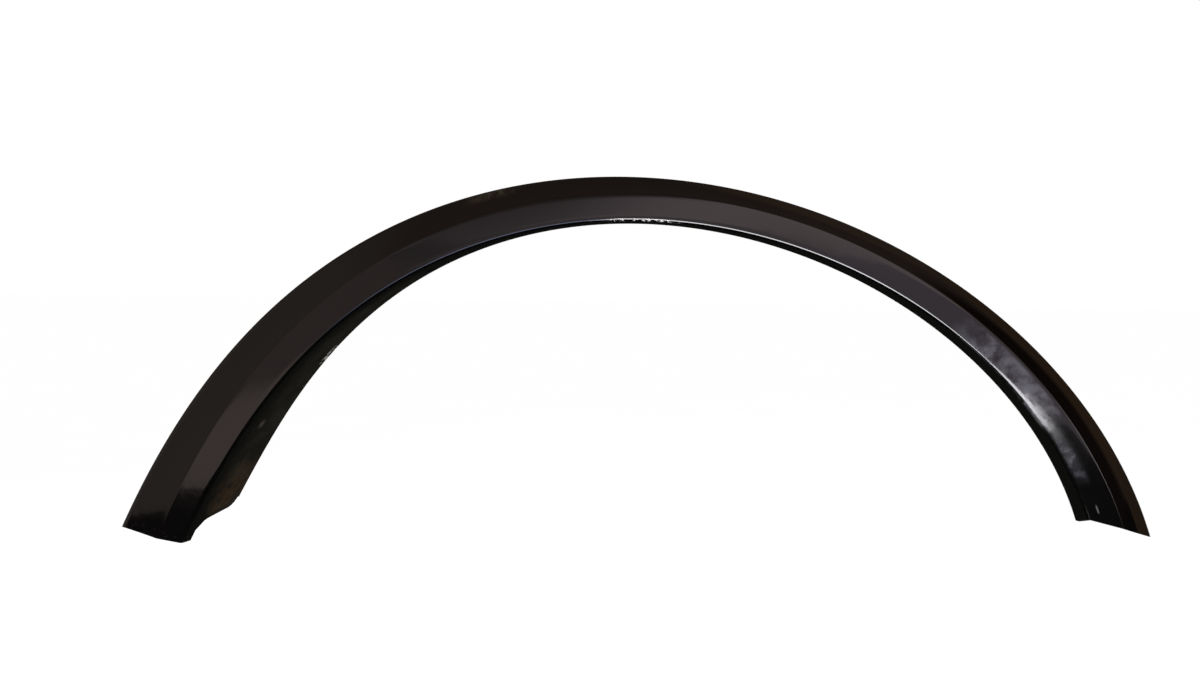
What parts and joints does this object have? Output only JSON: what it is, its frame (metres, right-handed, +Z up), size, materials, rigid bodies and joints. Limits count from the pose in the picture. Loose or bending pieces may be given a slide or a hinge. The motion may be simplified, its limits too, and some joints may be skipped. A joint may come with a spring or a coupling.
{
  "type": "wheel arch trim",
  "caption": "Gloss black moulded wheel arch trim with a creased face, a return flange and push-in clips on its back.",
  "frame": {"origin": "centre of the crown screw hole, on the visible side of the return flange", "axes": "+X along the car to the right as seen from outside, +Y into the car, +Z up as fitted"},
  "size_m": [0.9156, 0.093, 0.3389],
  "materials": {
    "gloss_black": "gloss, with light wear and dust on the flange",
    "nylon": "matte natural nylon"
  },
  "bodies": {
    "root": {"arch_trim": "gloss_black", "clip_1": "nylon", "clip_2": "nylon", "clip_3": "nylon", "clip_4": "nylon", "clip_5": "nylon", "clip_6": "nylon", "clip_7": "nylon", "clip_8": "nylon"}
  },
  "joints": []
}
